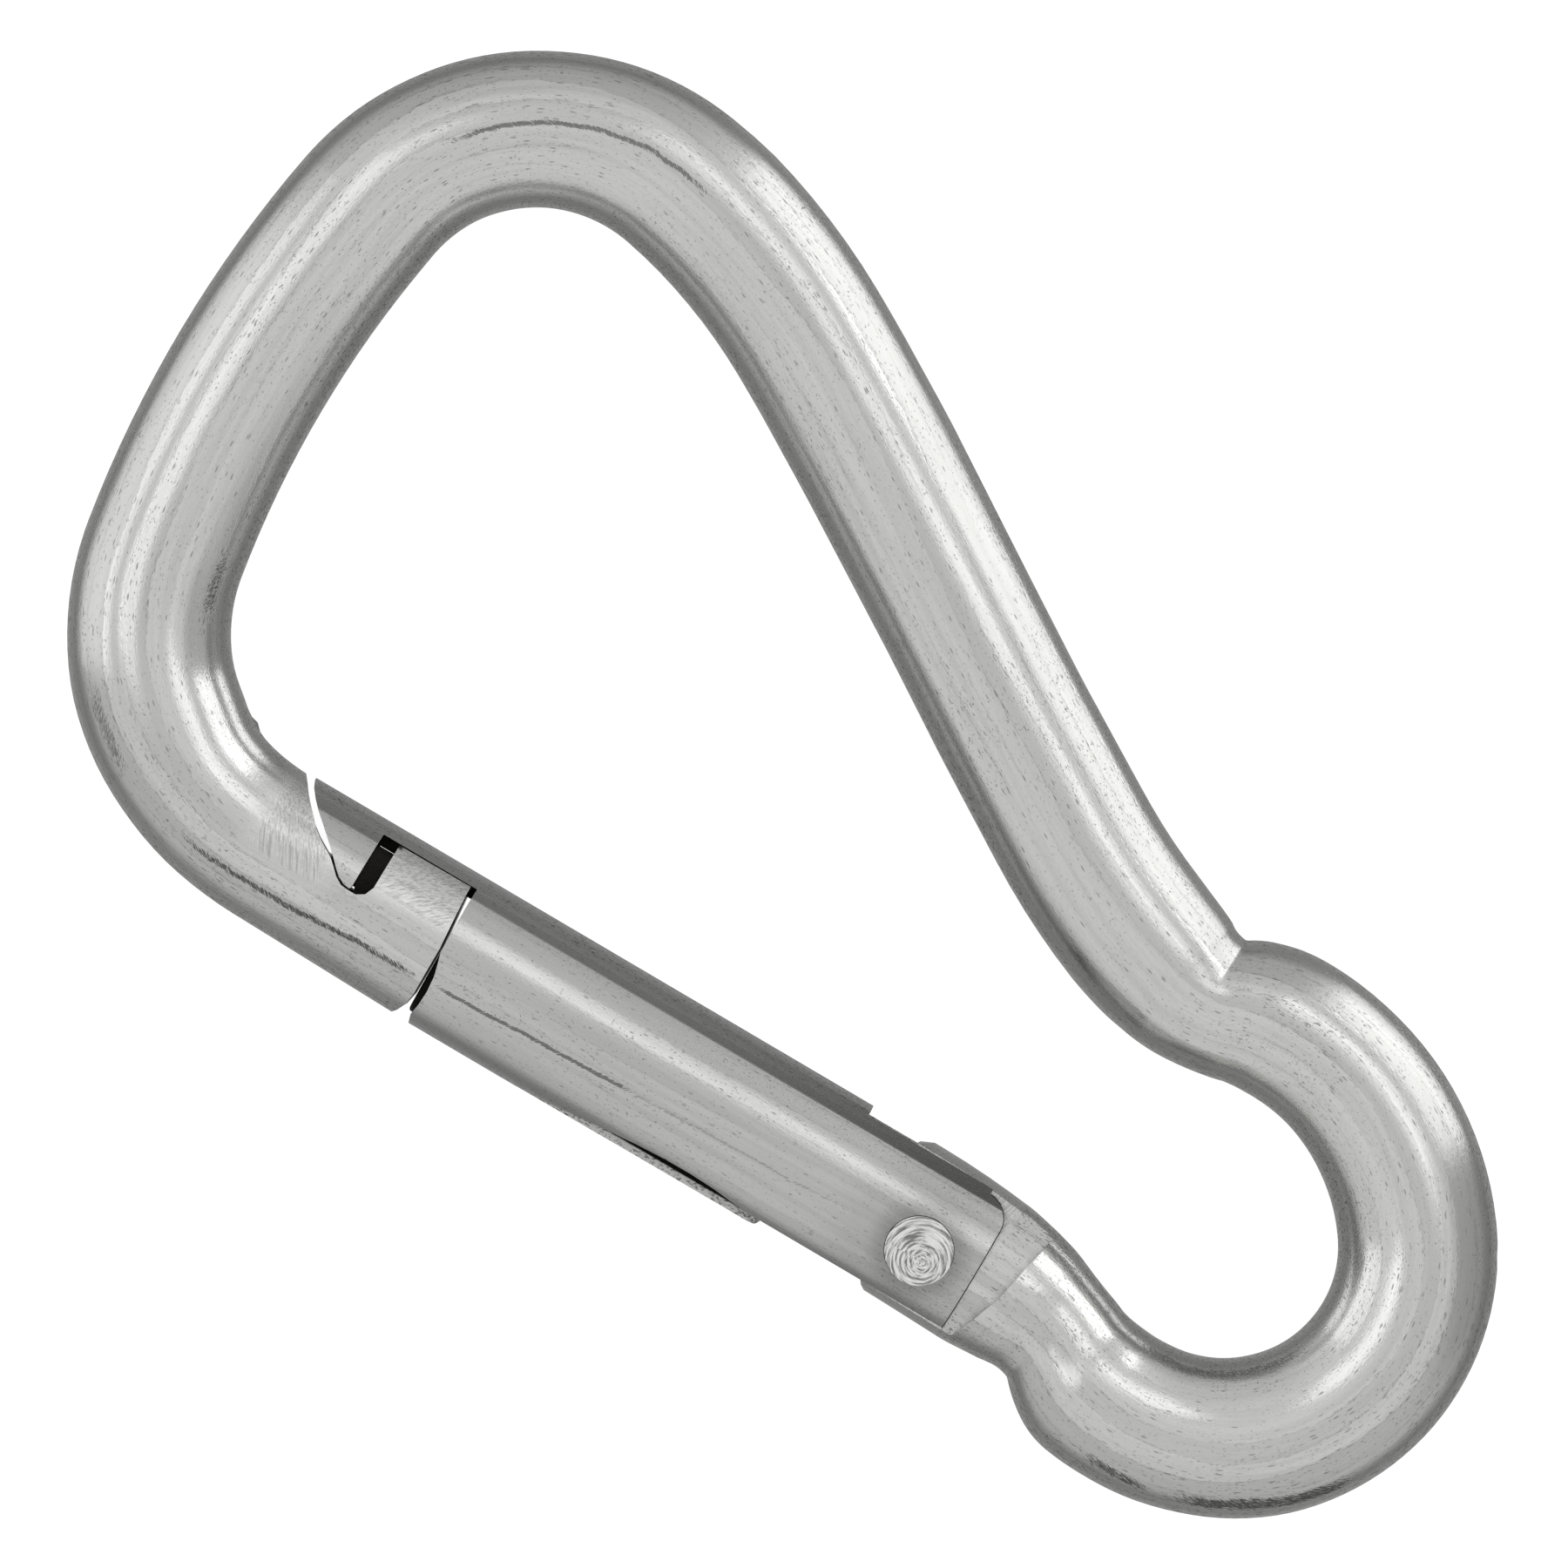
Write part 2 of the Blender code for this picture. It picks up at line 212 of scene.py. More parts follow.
def turnedAbout(name, profile, steps, spot=(0.0, 0.0)):
    # a profile of (radius, height) walked out and spun round a post's axis
    start = Vector((profile[0][0] + spot[0], spot[1], profile[0][1])) * mm
    walkOut(start, [Vector((there[0] - here[0], 0.0, there[1] - here[1])) * mm
                    for here, there in zip(profile, profile[1:])])
    bpy.ops.mesh.spin(steps=steps, angle=math.tau, axis=(0.0, 0.0, 1.0),
                      center=(spot[0] * mm, spot[1] * mm, 0.0))
    bpy.ops.mesh.select_all(action="SELECT")
    bpy.ops.mesh.remove_doubles(threshold=0.004 * mm)
    bpy.ops.mesh.normals_make_consistent(inside=False)
    return leaveEdit(name)


def keepSpots(piece, spots):
    # each vertex keeps its own place on the straight, unbent stock, in mm, for the finish to follow
    holder = piece.data.attributes.new("unbent", "FLOAT_VECTOR", "POINT")
    holder.data.foreach_set("vector", np.asarray(spots, dtype=np.float32).ravel())


def meshSpots(piece):
    spots = np.empty(len(piece.data.vertices) * 3)
    piece.data.vertices.foreach_get("co", spots)
    return spots.reshape(-1, 3) / mm


def finishPiece(piece, material, body, node, smoothTo=35.0):
    choose(piece)
    bpy.ops.object.shade_smooth_by_angle(angle=math.radians(smoothTo))
    weigh = piece.modifiers.new("flat faces stay flat", "WEIGHTED_NORMAL")
    weigh.keep_sharp = True
    applyAll(piece)
    piece.matrix_world = toWorld
    bpy.ops.object.transform_apply(location=True, rotation=True, scale=True)
    piece.data.materials.clear()
    piece.data.materials.append(material)
    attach(piece, body)
    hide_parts(node)
    print(piece.name, "made:", len(piece.data.polygons), "faces")


# Materials

def linear(code):
    parts = [int(code[i:i + 2], 16) / 255 for i in (1, 3, 5)]
    return tuple(p / 12.92 if p <= 0.04045 else ((p + 0.055) / 1.055) ** 2.4 for p in parts) + (1.0,)


def addNode(tree, kind, sockets=None, **settings):
    # one node with its settings; a socket takes a value, another socket, or a node's first output
    node = tree.nodes.new("ShaderNode" + kind)
    for name, value in settings.items():
        setattr(node, name, value)
    for name, value in (sockets or {}).items():
        if isinstance(value, bpy.types.Node):
            value = next(output for output in value.outputs if output.enabled)
        if isinstance(value, bpy.types.NodeSocket):
            tree.links.new(value, node.inputs[name])
        else:
            node.inputs[name].default_value = value
    return node


plus, minus, times = {"operation": "ADD"}, {"operation": "SUBTRACT"}, {"operation": "MULTIPLY"}
timesPlus, over = {"operation": "MULTIPLY_ADD"}, {"operation": "DIVIDE"}
most, bare = {"operation": "MAXIMUM"}, {"operation": "ABSOLUTE"}
soft, colour = {"interpolation_type": "SMOOTHSTEP"}, {"data_type": "RGBA"}


def newMaterial(name):
    material = bpy.data.materials.new(name)
    material.use_nodes = True
    tree = material.node_tree
    return material, partial(addNode, tree), tree.nodes["Principled BSDF"], tree.links.new


def streaks(add, spot, length, width, detail=3.0, shift=0.0):
    # noise drawn out along the bar, from its length and width in mm; the shift keeps layers from matching
    drawn = add("Mapping", {"Vector": spot, "Location": (shift, shift, 0.0),
                            "Scale": (1 / length, 1 / width, 1 / width)})
    return add("TexNoise", {"Vector": drawn, "Scale": 1.0, "Detail": detail, "Roughness": 0.6})


def shareInside(add, values, lows, highs, softness):
    # 1 where every value lies between its low and high, 0 outside, with soft borders
    share = 1.0
    for value, low, high, ramp in zip(values, lows, highs, softness):
        if high > low:
            for edge, slope in ((low, ramp), (high, -ramp)):
                inside = add("MapRange", {0: value, 1: edge - slope, 2: edge + slope}, **soft)
                share = add("Math", {0: share, 1: inside}, **times)
    return share


def zincPlate(look):
    # bright zinc over drawn or pressed steel: grey, half glossy, with long die lines and small pits
    material, add, shader, link = newMaterial(look["name"])
    spot = add("Attribute", attribute_name="unbent").outputs["Vector"]
    along, out, up = add("SeparateXYZ", {0: spot}).outputs
    turn = add("Math", {0: out, 1: up}, operation="ARCTAN2")
    angle = add("Math", {0: turn, 1: 180 / math.pi}, **times)
    steep = add("Math", {0: angle}, **bare)
    arc = add("Math", {0: turn, 1: barRadius}, **times)
    dieLines = streaks(add, spot, look["dieLength"], look["dieWidth"], 4.0)
    ripple = streaks(add, spot, look["rippleLength"], look["rippleWidth"], 2.0, 31.0)
    grain = streaks(add, spot, look["grainLength"], look["grainWidth"], 2.0, 57.0)
    cloud = streaks(add, spot, 14.0, 5.0, 3.0, 83.0)

    # places dressed with a file or a belt after bending: straight fine scratches, all one way
    values = (along, out, add("Math", {0: up}, **bare), angle)
    dressed, scratches = 0.0, 0.0
    for way, lows, highs, softness in look["dressed"]:
        share = shareInside(add, values, lows, highs, softness)
        turned = add("Mapping", {"Vector": spot, "Rotation": (0.0, 0.0, math.radians(way))})
        lines = streaks(add, turned.outputs[0], look["scratchLength"], look["scratchWidth"], 4.0, 43.0)
        scratches = add("Math", {0: lines, 1: share, 2: scratches}, **timesPlus)
        dressed = add("Math", {0: dressed, 1: share}, **most)
    plain = add("MapRange", {0: dressed, 3: 1.0, 4: 0.0})

    # flats left by the die: bands along the bar, a few degrees wide, that wander and have ragged edges
    place = angle
    for drift, reach in ((streaks(add, spot, 26.0, 9.0, 2.0, 5.0), look["bandSway"]),
                         (streaks(add, spot, 0.8, 0.12, 3.0, 19.0), look["bandJag"])):
        drift = add("Math", {0: drift, 1: 0.5}, **minus)
        place = add("Math", {0: drift, 1: reach, 2: place}, **timesPlus)
    place = add("Math", {0: place, 1: look["bandWidth"]}, **over)
    band = add("TexWhiteNoise", {"W": add("Math", {0: place}, operation="FLOOR")}, noise_dimensions="1D")
    band = add("Math", {0: band, 1: plain}, **times)
    fromMiddle = add("Math", {0: add("Math", {0: place}, operation="FRACT"), 1: 0.5}, **minus)
    edgeLine = add("MapRange", {0: add("Math", {0: fromMiddle}, **bare), 1: 0.43, 2: 0.5}, **soft)
    edgeLine = add("Math", {0: edgeLine, 1: add("MapRange", {0: cloud, 1: 0.4, 2: 0.6}, **soft)}, **times)

    # pits: cells stretched along the bar, with only some of them deep enough to show
    dark = 0.0
    for length, width, chance, depth in look["pits"]:
        stretched = add("Mapping", {"Vector": spot, "Scale": (1 / length, 1 / width, 1 / width),
                                    "Location": (length, width, depth)})
        cells = add("TexVoronoi", {"Vector": stretched, "Scale": 1.0})
        luck = add("SeparateXYZ", {0: cells.outputs["Color"]})
        luck = add("Math", {0: cloud, 1: 0.6, 2: luck}, **timesPlus)
        deep = add("MapRange", {0: luck, 1: 1.3 - chance, 2: 1.42 - chance, 4: depth}, **soft)
        core = add("MapRange", {0: cells.outputs["Distance"], 1: 0.34, 2: 0.12}, **soft)
        dark = add("Math", {0: dark, 1: add("Math", {0: core, 1: deep}, **times)}, **most)

    # speckle: fine dark grains, which are the plate's own; they are made thicker on the bar's two sides,
    # which is painted shade there
    fine = streaks(add, spot, look["speckLength"], look["speckWidth"], 2.0, 71.0)
    fine = add("Math", {0: cloud, 1: 0.25, 2: fine}, **timesPlus)
    sides = add("MapRange", {0: steep, 1: 46.0, 2: 72.0, 3: look["speckTop"], 4: look["speckSideShade"]}, **soft)
    fine = add("Math", {0: fine, 1: sides}, **plus)
    speckle = add("MapRange", {0: fine, 1: 0.78, 2: 0.86, 4: 0.6}, **soft)
    dark = add("Math", {0: add("Math", {0: dark, 1: speckle}, **most), 1: plain}, **times)

    # marks at set places: each is a stretch of the bar and an angle round it, in ragged slanting strokes
    slant = add("Math", {0: arc, 1: look["strokeSlant"], 2: along}, **timesPlus)
    strokes = add("CombineXYZ", {0: add("Math", {0: slant, 1: look["strokeWidth"]}, **over),
                                 1: add("Math", {0: arc, 1: look["strokeLength"]}, **over)})
    ragged = add("TexNoise", {"Vector": strokes, "Scale": 1.0, "Detail": 3.0, "Roughness": 0.6})
    wander = add("Math", {0: streaks(add, spot, 3.5, 30.0, 4.0, 7.0), 1: 0.5}, **minus)
    for (start, end), (first, last), half, fade, sway, fill, depth in look["marks"]:
        middle = add("MapRange", {0: along, 1: start, 2: end, 3: first, 4: last})
        middle = add("Math", {0: wander, 1: sway, 2: middle}, **timesPlus)
        off = add("Math", {0: add("Math", {0: angle, 1: middle}, **minus)}, **bare)
        area = add("MapRange", {0: off, 1: half, 2: half * 0.2}, **soft)
        for edge, ramp in ((start, fade), (end, -fade)):
            inside = add("MapRange", {0: along, 1: edge - ramp, 2: edge + ramp}, **soft)
            area = add("Math", {0: area, 1: inside}, **times)
        stroke = add("Math", {0: area, 1: fill, 2: ragged}, **timesPlus)
        stroke = add("MapRange", {0: stroke, 1: 0.62, 2: 0.70, 4: depth}, **soft)
        reach = add("MapRange", {0: area, 2: 0.35})
        dark = add("Math", {0: dark, 1: add("Math", {0: stroke, 1: reach}, **times)}, **most)

    # painted shade deep in a slot: the slot's inside is coloured towards the dark grey
    for lows, highs in look["slotShade"]:
        dark = add("Math", {0: dark, 1: shareInside(add, values, lows, highs, (0.1, 0.1, 0.1))}, **most)

    # painted shade along the sheet's end: everything past a rounded corner is darkened into a dark outline
    for centre, middle, radius in look["endShade"]:
        past = add("Math", {0: add("Math", {0: along, 1: centre}, **minus), 1: 0.0}, **most)
        above = add("Math", {0: add("Math", {0: out, 1: middle}, **minus), 1: 0.0}, **most)
        reach = add("VectorMath", {0: add("CombineXYZ", {0: past, 1: above})}, operation="LENGTH")
        endShade = add("MapRange", {0: reach, 1: radius, 2: radius + 0.06}, **soft)
        endShade = add("Math", {0: endShade, 1: add("MapRange", {0: past, 2: 0.05}, **soft)}, **times)
        dark = add("Math", {0: dark, 1: endShade}, **most)

    # colour: the plate's own grey, then each layer over it
    # one dark grey for pits and marks, and for the painted shade layers
    deepGrey, cloudy = linear(look["pitAndShadeColour"]), linear(look["cloudy"])
    layers = [
        (add("MapRange", {0: dieLines, 1: 0.3, 2: 0.7}, **soft), linear(look["bright"])),
        (add("Math", {0: band, 1: look["bandTone"]}, **times), cloudy),
        (add("MapRange", {0: grain, 1: 0.50, 2: 0.72, 4: look["grainTone"]}, **soft), cloudy),
        (add("Math", {0: edgeLine, 1: look["bandLine"]}, **times), deepGrey),
        (add("MapRange", {0: scratches, 1: 0.42, 2: 0.66, 4: 0.55}, **soft), linear(look["scratchColour"])),
    ]
    # painted shade: dark stretches at set angles round the sheet
    for first, last, depth in look["shadeBelts"]:
        rise = add("MapRange", {0: angle, 1: first, 2: first + 1.0})
        fall = add("MapRange", {0: angle, 1: last + 1.0, 2: last, 4: depth})
        layers.append((add("Math", {0: rise, 1: fall}, **times), deepGrey))
    # painted shade: dark rings round the rivet's head
    for radius, spread, depth in look["rivetShade"]:
        flat = add("CombineXYZ", {0: along, 1: add("Math", {0: out, 1: 1.05}, **plus)})
        ring = add("VectorMath", {0: flat}, operation="LENGTH")
        ring = add("MapRange", {0: ring, 1: radius + spread, 2: radius, 4: depth}, **soft)
        layers.append((ring, deepGrey))
    layers.append((dark, deepGrey))
    tone = linear(look["dull"])
    for share, shade in layers:
        tone = add("Mix", {0: share, 6: tone, 7: shade}, **colour).outputs[2]
    smooth = look["smooth"]
    rough = add("MapRange", {0: dieLines, 1: 0.3, 2: 0.7, 3: smooth + 0.04, 4: smooth - 0.02})
    for share, more in ((dressed, 0.1), (band, 0.05), (dark, 0.3)):
        rough = add("Math", {0: share, 1: more, 2: rough}, **timesPlus)

    # painted shade: the sheet's faces inside a radius are coloured nearly black and made duller
    if look["inside"]:
        flat = add("CombineXYZ", {0: out, 1: up})
        depth = add("VectorMath", {0: flat}, operation="LENGTH")
        inner = add("MapRange", {0: depth, 1: look["inside"], 2: look["inside"] - 0.1}, **soft)
        tone = add("Mix", {0: inner, 6: tone, 7: linear("#1C1B1A")}, **colour).outputs[2]
        rough = add("Math", {0: inner, 1: 0.4, 2: rough}, **timesPlus)
    link(tone, shader.inputs["Base Color"])
    link(rough.outputs[0], shader.inputs["Roughness"])
    shader.inputs["Metallic"].default_value = 1.0

    height = 0.0
    for layer, rise in ((dieLines, look["dieHeight"]), (ripple, look["rippleHeight"]),
                        (grain, look["grainHeight"]), (dark, -look["pitHeight"]),
                        (band, look["bandHeight"]), (scratches, look["scratchHeight"])):
        height = add("Math", {0: layer, 1: rise, 2: height}, **timesPlus)
    bump = add("Bump", {"Height": height, "Distance": mm, "Strength": 1.0})
    link(bump.outputs[0], shader.inputs["Normal"])
    return material


# Hook body: one round bar, bent, with the latch cut into its nose and the tang at its other end

# lengths, widths and heights of the patterns are in mm, angles in degrees, tones and depths are shares
hookLook = {
    "name": "brightZincOnDrawnBar", "bright": "#DCDCDA", "dull": "#CECECC", "cloudy": "#ACACAA",
    "pitAndShadeColour": "#3E3D3B", "smooth": 0.16,
    "dieLength": 16.0, "dieWidth": 0.5, "dieHeight": 0.0015,
    "rippleLength": 3.0, "rippleWidth": 1.2, "rippleHeight": 0.012,
    "grainLength": 0.3, "grainWidth": 0.11, "grainHeight": 0.008,
    "bandWidth": 15.0, "bandSway": 32.0, "bandJag": 8.0,
    "bandTone": 0.6, "bandLine": 0.2, "bandHeight": 0.016,
    "grainTone": 0.22, "speckLength": 0.24, "speckWidth": 0.13, "speckTop": 0.0, "speckSideShade": 0.11,
    "inside": 0.0, "shadeBelts": (), "endShade": (), "rivetShade": (),
    "slotShade": (((5.2, -6.0, -1.0), (7.6, 1.0, 3.0)),),    # painted shade in the latch slot: lows and highs of along, out and thickness
    "scratchLength": 3.0, "scratchWidth": 0.13, "scratchHeight": 0.02, "scratchColour": "#8E8E8C",
    # way the scratches run, and where: lows, highs and softness of along, out, thickness and angle
    "dressed": (
        (-78.0, (196.6, -6.0, -1.0, 1.0), (214.0, 6.0, 2.3, 0.0), (0.3, 0.05, 0.05, 0.1)),
        (-38.0, (-1.0, 1.0, 1.0, -85.0), (6.5, 0.0, 0.0, -8.0), (0.8, 0.1, 0.1, 8.0)),
        (62.0, (8.0, 1.0, 1.0, -70.0), (14.0, 0.0, 0.0, 10.0), (1.2, 0.1, 0.1, 8.0)),
    ),
    # length and width in mm of one pit's cell, share of cells that have one, and depth
    "pits": ((0.9, 0.2, 0.30, 0.5), (0.34, 0.14, 0.38, 0.4)), "pitHeight": 0.008,
    "strokeLength": 0.3, "strokeWidth": 0.09, "strokeSlant": 1.2,
    # marks: start and end along the bar, angle round it at each, half width in degrees, fade, sway,
    # share filled with strokes, and depth
    "marks": (
        ((1.0, 16.0), (26.0, 34.0), 3.8, 1.5, 10.0, 0.23, 0.85),
        ((64.0, 80.0), (0.0, 5.0), 3.0, 2.0, 8.0, 0.28, 0.7),
        ((29.0, 34.0), (-46.0, -50.0), 10.0, 1.5, 4.0, 0.2, 0.7),
        ((21.0, 25.0), (44.0, 44.0), 9.0, 1.0, 4.0, 0.18, 0.6),
        ((172.0, 180.0), (56.0, 52.0), 11.0, 1.5, 8.0, 0.25, 0.85),
        ((181.5, 184.5), (52.0, 50.0), 7.0, 0.8, 8.0, 0.22, 0.85),
        ((170.0, 186.0), (-58.0, -54.0), 8.0, 2.5, 8.0, 0.22, 0.6),
    ),
}

hook = {
    "sides": 64, "noseStart": (-34.0, 1.05),
    "path": (       # length and turn of each run, from the nose to the tang
        (12.2, 0.0), (20.9, -80.3), (24.3, -19.9), (21.0, -89.8), (15.1, -21.9), (30.7, 0.0),
        (11.4, 15.5), (4.2, 36.1), (2.5, -15.7), (16.3, -59.4), (30.9, -153.2), (3.9, 22.7), (10.5, 5.9)),
    "degreesPerStep": 3.0, "neckStep": 0.25, "neckReach": 3.0, "longestStep": 1.5, "shortestStep": 0.12,
    "noseRun": 5.0,                 # up to here the bar is straight and takes long steps
    "gaugeBlur": 0.8,               # mm each way that the gauge below is averaged over
    "necks": ((133.0, 145.0), (182.0, 196.0)),      # the two forged stretches, where rings stand closer
    "gauge": (      # place along, radius, and shift outwards: the bar draws thin where it bends
        (0.0, 4.95, 0.0), (14.0, 4.77, -0.14), (18.8, 4.75, 0.0), (22.0, 4.96, -0.03), (25.0, 4.98, 0.08),
        (46.0, 4.94, 0.02), (57.0, 4.90, 0.0), (63.0, 4.76, 0.0), (70.0, 4.76, 0.0), (81.0, 4.98, 0.1),
        (91.5, 4.96, -0.13), (99.0, 4.96, 0.02), (110.0, 4.88, -0.04), (117.0, 4.90, -0.12),
        (125.0, 4.95, -0.03), (132.0, 4.94, -0.02), (134.5, 4.82, -0.02), (136.5, 4.54, 0.0),
        (138.4, 4.38, 0.04), (140.3, 4.46, -0.10), (142.3, 4.66, 0.0), (147.0, 4.66, -0.03),
        (153.0, 4.78, -0.07), (168.0, 4.95, -0.01), (175.0, 4.95, 0.0), (180.0, 4.80, -0.04),
        (184.0, 4.75, 0.05), (187.0, 4.74, 0.28), (189.2, 4.20, 0.06), (191.2, 4.02, 0.10),
        (193.4, 4.48, 0.0), (196.0, 4.85, 0.02), (200.0, 4.95, 0.0)),
    "nudges": (     # where, how far round it is held, the push, how far the metal follows
        ((-50.79, 6.96, 0.0), 0.25, (0.06, 0.2, 0.0), 0.9, "SHARP"),
        ((30.63, 17.36, 0.0), 0.3, (-0.18, -0.1, 0.0), 0.9, "SHARP"),
    ),
    "creases": (    # bar's middle there, the crease's two ends, how far it is drawn in, its width
        ((7.5, 21.9), (7.83, 26.8), (7.42, 23.3), 0.95, 1.6),
        ((9.2, 0.6), (8.7, -4.9), (8.7, -1.2), 0.95, 1.7),
    ),
    "toothTip": (-45.85, 6.0), "toothFoot": 1.4,
    "tongueLeft": -39.45, "tongueEnd": -34.15, "latchGap": 0.12, "sawLean": 0.056,
    "ribHalf": 0.9, "grooveHalf": 2.75, "grooveFloor": 4.42,
    "tangHalf": 2.2, "shoulderTop": (6.75, 5.2), "shoulderFoot": (4.25, -3.9), "pinHole": 1.85,
    "edge": 0.1,
}


def ringAt(travelled):
    # the bar's radius, and how far it stands out of its bend line, at a distance from the nose
    places, radii, shifts = zip(*hook["gauge"])
    nearby = travelled + np.linspace(-hook["gaugeBlur"], hook["gaugeBlur"], 9)
    return np.interp(nearby, places, radii).mean(), np.interp(nearby, places, shifts).mean()


def nearNeck(travelled):
    return any(low < travelled < high for low, high in hook["necks"])


def barSteps():
    # the bar's axis in small steps: length and turn of each
    travelled = 0.0
    for length, turn in hook["path"]:
        done = 0.0
        while done < length - 1e-6:
            size = length * hook["degreesPerStep"] / abs(turn) if turn else length
            ahead = min(size, hook["neckReach"])
            if nearNeck(travelled + done) or nearNeck(travelled + done + ahead):
                size = hook["neckStep"]
            if travelled > hook["noseRun"]:
                size = min(size, hook["longestStep"])
            size = min(size, length - done)
            if length - done - size < hook["shortestStep"]:
                size = length - done
            yield size, math.radians(turn) * size / length
            done += size
        travelled += length


def sweepBar():
    clearChoice()
    place = Vector((*hook["noseStart"], 0.0))
    bpy.ops.mesh.primitive_circle_add(vertices=hook["sides"], radius=ringAt(0.0)[0] * mm, fill_type="NGON",
                                      location=place * mm, rotation=(0.0, math.pi / 2, 0.0))
    bpy.ops.object.transform_apply(location=True, rotation=True, scale=True)
    editAll()
    heading, travelled = math.pi, 0.0
    axis = [(place.x, place.y, heading, travelled)]
    for size, swing in barSteps():
        forward = Vector((math.cos(heading), math.sin(heading), 0.0))
        if abs(swing) < 1e-9:
            bpy.ops.mesh.extrude_region_move(TRANSFORM_OT_translate={"value": forward * size * mm})
            place = place + forward * size
        else:
            centre = place + Vector((-forward.y, forward.x, 0.0)) * size / swing
            bpy.ops.mesh.spin(steps=1, angle=-swing, center=centre * mm, axis=(0.0, 0.0, 1.0))
            place = centre + Matrix.Rotation(swing, 3, "Z") @ (place - centre)
            heading += swing
        (radius, shift), (nextRadius, nextShift) = ringAt(travelled), ringAt(travelled + size)
        travelled += size
        outward = Vector((-math.sin(heading), math.cos(heading), 0.0))
        bpy.ops.transform.translate(value=outward * (nextShift - shift) * mm)
        ratio = nextRadius / radius
        bpy.ops.transform.resize(value=(ratio, ratio, ratio),
                                 center_override=(place + outward * nextShift) * mm)
        axis.append((place.x, place.y, heading, travelled))
    bpy.ops.mesh.select_all(action="SELECT")
    bpy.ops.mesh.remove_doubles(threshold=0.001 * mm)
    bpy.ops.mesh.normals_make_consistent(inside=False)
    return leaveEdit("hookBar"), axis


def unbend(spots, axis):
    # where each point lies on the bar if it were straight: distance along, outward, and up
    fine, spacing = [], 0.5
    for (x0, y0, h0, s0), (x1, y1, h1, s1) in zip(axis, axis[1:]):
        pieces = max(1, round((s1 - s0) / spacing))
        for k in range(pieces):
            share = k / pieces
            swing = (h1 - h0) * share
            middle = h0 + swing / 2
            chord = (s1 - s0) * share
            fine.append((x0 + chord * math.cos(middle), y0 + chord * math.sin(middle), h0 + swing,
                         s0 + (s1 - s0) * share))
    fine.append(axis[-1])
    fine = np.array(fine)
    result, blockSize = np.empty((len(spots), 3)), 4000
    for first in range(0, len(spots), blockSize):
        last = first + blockSize
        block = spots[first:last]
        gaps = (block[:, None, 0] - fine[None, :, 0]) ** 2 + (block[:, None, 1] - fine[None, :, 1]) ** 2
        near = fine[gaps.argmin(axis=1)]
        dx, dy = block[:, 0] - near[:, 0], block[:, 1] - near[:, 1]
        cosine, sine = np.cos(near[:, 2]), np.sin(near[:, 2])
        result[first:last, 0] = near[:, 3] + dx * cosine + dy * sine
        result[first:last, 1] = -dx * sine + dy * cosine
        result[first:last, 2] = block[:, 2]
    return result


def makeHook(material):
    body, axis = sweepBar()
    print("bar swept:", len(axis), "rings")
    for near, reach, push, size, falloff in hook["nudges"]:
        nudge(body, near, reach, push, size, falloff)
    for centre, first, last, squeeze, size in hook["creases"]:
        pinch(body, centre, first, last, squeeze, size)

    end = hook["tongueEnd"]
    cut(body, drawSolid("noseEnd", [
        (end - 0.4, far), (end - 0.3, 4.6), (end, 1.0), (end, -2.2), (end - 0.15, -3.0),
        (end - 0.45, -3.6), (end - 0.95, -4.2), (end - 0.95, -far), (-30.0, -far), (-30.0, far)], -far, far))

    # the throat leans a little in the thickness, as the saw that cut it did
    floor = hook["toothFoot"] - hook["latchGap"]
    wall = [(-47.5, far), (-46.38, 6.0), (-45.98, 5.5), (-45.62, 5.0), (-45.17, 4.5), (-44.7, 4.0),
            (-44.22, 3.5), (-43.56, 3.0), (-42.62, 2.45), (-42.12, 1.98), (-41.72, 1.6),
            (-41.25, floor + 0.05), (-40.75, floor)]
    throat = wall + [(-40.2, floor), (-39.7, floor + 0.3), (hook["tongueLeft"], floor + 0.9),
                     (hook["tongueLeft"], far)]
    cut(body, drawSolid("throatUpper", throat, hook["ribHalf"], far))
    cut(body, drawSolid("throatLower", throat, -far, -hook["ribHalf"]))
    slit = wall + [(-40.5, floor), (-40.9, 2.6), (-46.3, far)]
    cut(body, drawSolid("throatSlit", slit, -far, hook["ribHalf"] + 0.05))
    lean = hook["sawLean"]
    behind = lean * (barRadius + far)       # how far back the cut starts under the bar
    gap = [(a - behind, b) for a, b in wall[:9]] + [(-42.62, 2.45), (-43.0, 3.2), (-46.2, far)]
    cut(body, drawSolid("throatGap", gap, -far, barRadius, lean=lean))
    groove = [(-44.95, hook["grooveFloor"]), (-33.0, hook["grooveFloor"]), (-33.0, far), (-47.3, far),
              (-46.2, 6.0), (-45.8, 5.5), (-45.45, 5.0)]
    cut(body, drawSolid("webGroove", groove, -hook["grooveHalf"], hook["grooveHalf"]))

    top, foot = hook["shoulderTop"], hook["shoulderFoot"]
    cheekRoom = [(-6.0, far), (7.3, far), (top[0] - 0.05, 4.7), (6.15, 2.5), (5.65, 0.0), (4.95, -2.0),
                 (4.55, -3.0), (foot[0] - 0.05, -3.9), (3.6, -5.4), (3.3, -far), (-6.0, -far)]
    cut(body, drawSolid("tangUpper", cheekRoom, hook["tangHalf"], far))
    cut(body, drawSolid("tangLower", cheekRoom, -far, -hook["tangHalf"]))
    cut(body, drawSolid("tangFront", [
        (-8.0, far), (-1.6, far), (-2.4, 5.95), (-3.1, 5.6), (-3.4, 5.1), (-2.2, -3.2), (-1.9, -3.65),
        (-1.3, -4.05), (-1.0, -far), (-8.0, -far)], -3.0, 3.0))
    cut(body, postUp("pinHole", hook["pinHole"], -far, far, 48))
    softenEdges(body, hook["edge"])
    keepSpots(body, unbend(meshSpots(body), axis))
    finishPiece(body, material, "hook", "hook_body")


# Gate: one pressed sheet rolled round, with a tooth each side at its tip and two cheeks at the hinge

